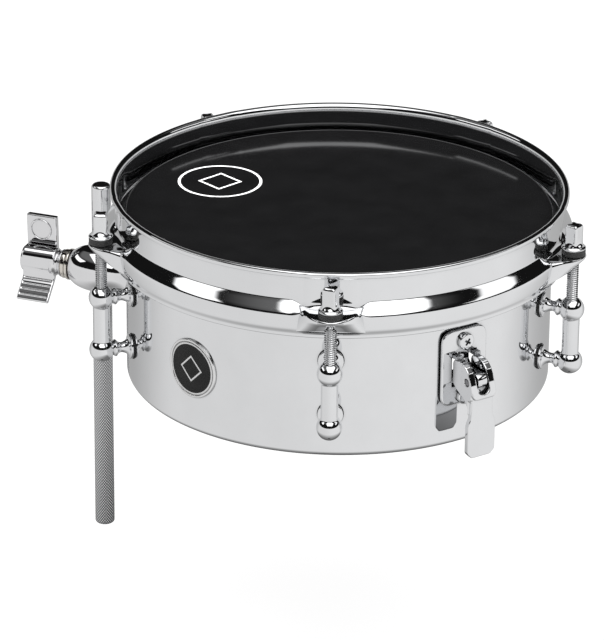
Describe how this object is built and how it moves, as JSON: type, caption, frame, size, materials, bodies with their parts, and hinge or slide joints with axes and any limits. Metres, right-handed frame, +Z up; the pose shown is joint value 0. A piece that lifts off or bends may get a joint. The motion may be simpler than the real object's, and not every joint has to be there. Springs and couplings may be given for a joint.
{
  "type": "snare timbale",
  "caption": "Small chrome single-headed timbale with tube lugs, a pressed counter hoop, a throw-off that drops snare wires from the head, and a side bracket on a knurled rod.",
  "frame": {"origin": "centre of the shell's open lower edge, on the plane that edge lies in", "axes": "+Z up along the drum axis through the head; -Y towards the front lug; +X to the right of the front lug as seen from the front"},
  "size_m": [0.2758, 0.2326, 0.1997],
  "materials": {
    "shell_chrome": "polished chrome over rolled steel",
    "hoop_chrome": "polished chrome over pressed steel",
    "head_film_black": "satin black polyester film",
    "flesh_hoop_metal": "bare rolled channel",
    "black_nylon": "moulded black nylon",
    "rod_chrome": "chrome over machined steel",
    "lug_chrome": "chrome over turned brass",
    "gasket_black": "thin black gasket",
    "zinc_steel": "zinc plated",
    "badge_metal": "bright rim",
    "badge_black": "black enamel",
    "cast_chrome": "chrome over zinc die casting",
    "washer_nickel": "nickel plated, slightly warm",
    "mount_rod_chrome": "chrome over knurled steel",
    "lever_chrome": "chrome over pressed steel",
    "pin_steel": "plain steel",
    "snare_steel": "bright spring steel",
    "frame_steel": "plated sheet steel"
  },
  "bodies": {
    "root": {"badge_inlay": "badge_black", "badge_plate": "badge_metal", "bracket_casting": "cast_chrome", "bracket_gasket": "gasket_black", "bracket_lock_washers": "zinc_steel", "bracket_screws": "zinc_steel", "drumhead_film": "head_film_black", "flat_washer": "washer_nickel", "hinge_bracket": "frame_steel", "hinge_pin": "pin_steel", "lug_back_left": "lug_chrome", "lug_back_right": "lug_chrome", "lug_front": "lug_chrome", "lug_gaskets": "gasket_black", "lug_left": "lug_chrome", "lug_lock_washers": "zinc_steel", "lug_right": "lug_chrome", "lug_screws": "zinc_steel", "shell": "shell_chrome", "spring_washer": "washer_nickel", "strainer_base": "lever_chrome", "strainer_nuts": "zinc_steel", "strainer_screws": "lever_chrome", "strainer_washers": "zinc_steel"},
    "hoop": {"counter_hoop": "hoop_chrome", "flesh_hoop": "flesh_hoop_metal", "nylon_washers": "black_nylon"},
    "rod_front": {"tension_rod_front": "rod_chrome"},
    "rod_right": {"tension_rod_right": "rod_chrome"},
    "rod_back_right": {"tension_rod_back_right": "rod_chrome"},
    "rod_back_left": {"tension_rod_back_left": "rod_chrome"},
    "rod_left": {"tension_rod_left": "rod_chrome"},
    "wing_nut": {"wing_nut": "cast_chrome"},
    "eye_bolt": {"eye_bolt": "cast_chrome"},
    "mount_rod": {"mount_rod": "mount_rod_chrome"},
    "lever": {"throw_lever": "lever_chrome", "lever_pin": "pin_steel"},
    "snare_frame": {"snare_frame": "frame_steel", "snare_end_plates": "snare_steel", "snare_wires": "snare_steel", "snare_plate_screws": "zinc_steel"}
  },
  "joints": [
    {"name": "hoop_slide", "type": "slide", "parent": "root", "child": "hoop", "axis": [0, 0, -1], "range_m": [-0.00317, 0.00212]},
    {"name": "tension_rod_front_turn", "type": "hinge", "parent": "hoop", "child": "rod_front", "pos_m": [0, -0.1157, 0.08], "axis": [0, 0, -1], "range_deg": [-1080, 720]},
    {"name": "tension_rod_right_turn", "type": "hinge", "parent": "hoop", "child": "rod_right", "pos_m": [0.11004, -0.03575, 0.08], "axis": [0, 0, -1], "range_deg": [-1080, 720]},
    {"name": "tension_rod_back_right_turn", "type": "hinge", "parent": "hoop", "child": "rod_back_right", "pos_m": [0.06801, 0.0936, 0.08], "axis": [0, 0, -1], "range_deg": [-1080, 720]},
    {"name": "tension_rod_back_left_turn", "type": "hinge", "parent": "hoop", "child": "rod_back_left", "pos_m": [-0.06801, 0.0936, 0.08], "axis": [0, 0, -1], "range_deg": [-1080, 720]},
    {"name": "tension_rod_left_turn", "type": "hinge", "parent": "hoop", "child": "rod_left", "pos_m": [-0.11004, -0.03575, 0.08], "axis": [0, 0, -1], "range_deg": [-1080, 720]},
    {"name": "wing_nut_turn", "type": "hinge", "parent": "root", "child": "wing_nut", "pos_m": [-0.14551, 0.04728, 0.0315], "axis": [-0.9511, 0.309, 0], "range_deg": [0, 250]},
    {"name": "eye_bolt_slide", "type": "slide", "parent": "root", "child": "eye_bolt", "axis": [0.9511, -0.309, 0], "range_m": [0, 0.00098]},
    {"name": "mount_rod_slide", "type": "slide", "parent": "root", "child": "mount_rod", "axis": [0, 0, 1], "range_m": [-0.03, 0.1]},
    {"name": "lever_throw", "type": "hinge", "parent": "root", "child": "lever", "pos_m": [0.06713, -0.09239, 0.0369], "axis": [-0.809, -0.5878, 0], "range_deg": [0, 120]},
    {"name": "snare_frame_drop", "type": "hinge", "parent": "root", "child": "snare_frame", "pos_m": [-0.0529, 0.07281, 0.06], "axis": [0.809, 0.5878, 0], "range_deg": [0, 1.46]}
  ],
  "couplings": [
    {"joint": "tension_rod_front_turn", "follows": "hoop_slide", "rad_per_m": 5936.9},
    {"joint": "tension_rod_right_turn", "follows": "hoop_slide", "rad_per_m": 5936.9},
    {"joint": "tension_rod_back_right_turn", "follows": "hoop_slide", "rad_per_m": 5936.9},
    {"joint": "tension_rod_back_left_turn", "follows": "hoop_slide", "rad_per_m": 5936.9},
    {"joint": "tension_rod_left_turn", "follows": "hoop_slide", "rad_per_m": 5936.9},
    {"joint": "eye_bolt_slide", "follows": "wing_nut_turn", "m_per_rad": 0.00022459},
    {"joint": "snare_frame_drop", "follows": "lever_throw", "ratio": 0.01216}
  ]
}
